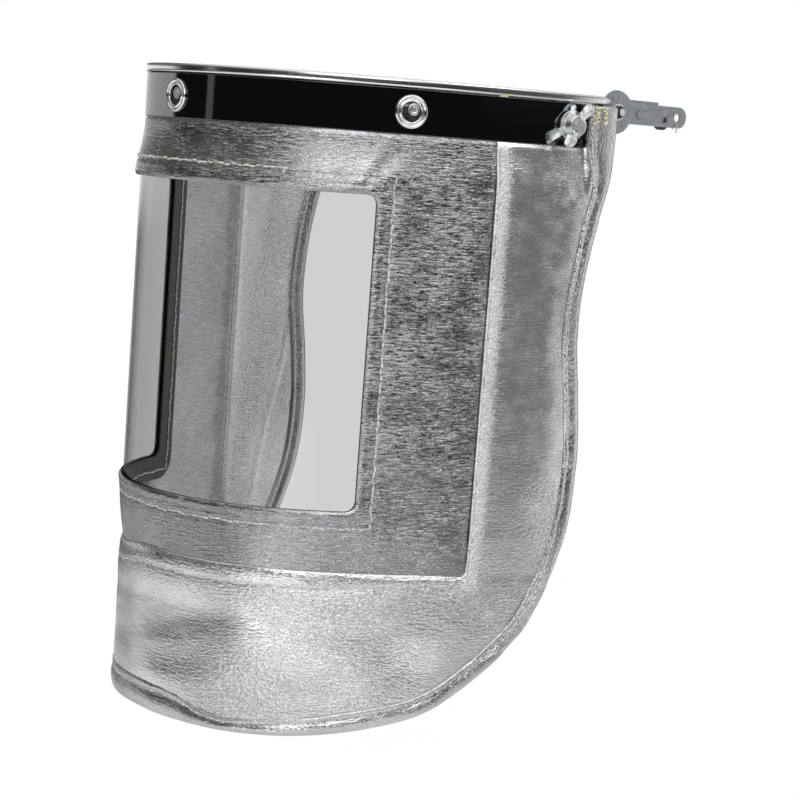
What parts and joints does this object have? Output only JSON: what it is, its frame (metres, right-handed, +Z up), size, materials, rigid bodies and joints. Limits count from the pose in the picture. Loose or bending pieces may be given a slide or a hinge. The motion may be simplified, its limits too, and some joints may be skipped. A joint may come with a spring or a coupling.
{
  "type": "face shield",
  "caption": "Lift-front aluminised face shield for a hard hat: curved metal frame, clear window in a metallised fabric shroud, wing-nut clamps and side hinge arms.",
  "frame": {"origin": "middle of the hinge axis, halfway between the two pivots", "axes": "+Z up, the window faces -Y, +X is the wearer's left and runs along the hinge axis"},
  "size_m": [0.2526, 0.26, 0.3405],
  "materials": {
    "polished_aluminium": "polished, lightly brushed along its length",
    "black_strip": "high gloss",
    "nickel_eyelet": "bright nickel plate",
    "zinc_hardware": "bright zinc plate",
    "grey_steel": "satin grey",
    "dark_steel": "black oxide",
    "clear_pane": "clear, gloss",
    "aluminised_fabric": "aluminised woven cloth, metallic sheen",
    "black_rubber": "matte"
  },
  "bodies": {
    "hat_arms": {"left_hat_arm": "grey_steel", "right_hat_arm": "grey_steel", "left_arm_backing": "grey_steel", "right_arm_backing": "grey_steel", "left_hinge_disc": "grey_steel", "right_hinge_disc": "grey_steel", "left_pivot_screw": "zinc_hardware", "right_pivot_screw": "zinc_hardware", "left_spring_washer": "zinc_hardware", "right_spring_washer": "zinc_hardware", "left_pivot_washer": "nickel_eyelet", "right_pivot_washer": "nickel_eyelet", "left_pivot_nut": "dark_steel", "right_pivot_nut": "dark_steel", "left_arm_rivet": "grey_steel", "right_arm_rivet": "grey_steel", "left_hat_pad": "black_rubber", "right_hat_pad": "black_rubber", "left_retaining_clip": "zinc_hardware", "right_retaining_clip": "zinc_hardware"},
    "shield": {"visor_frame": "polished_aluminium", "retaining_strip": "black_strip", "front_eyelet": "nickel_eyelet", "left_eyelet": "nickel_eyelet", "right_eyelet": "nickel_eyelet", "front_stud": "zinc_hardware", "left_stud": "zinc_hardware", "right_stud": "zinc_hardware", "window_pane": "clear_pane", "window_panel": "aluminised_fabric", "window_facing": "aluminised_fabric", "skirt": "aluminised_fabric", "edge_binding": "aluminised_fabric", "left_clamp_screw": "zinc_hardware", "right_clamp_screw": "zinc_hardware", "left_clamp_keeper": "zinc_hardware", "right_clamp_keeper": "zinc_hardware", "left_flat_washer": "zinc_hardware", "right_flat_washer": "zinc_hardware", "left_lock_washer": "zinc_hardware", "right_lock_washer": "zinc_hardware"},
    "left_nut": {"left_wing_nut": "zinc_hardware"},
    "right_nut": {"right_wing_nut": "zinc_hardware"}
  },
  "joints": [
    {"name": "shield_lift", "type": "hinge", "parent": "hat_arms", "child": "shield", "pos_m": [0, 0, 0], "axis": [-1, 0, 0], "range_deg": [0, 100]},
    {"name": "left_nut_turn", "type": "hinge", "parent": "shield", "child": "left_nut", "pos_m": [0.12014, -0.03458, -0.0091], "axis": [0.9981, -0.0623, 0], "continuous": true},
    {"name": "right_nut_turn", "type": "hinge", "parent": "shield", "child": "right_nut", "pos_m": [-0.12014, -0.03458, -0.0091], "axis": [-0.9981, -0.0623, 0], "continuous": true}
  ]
}
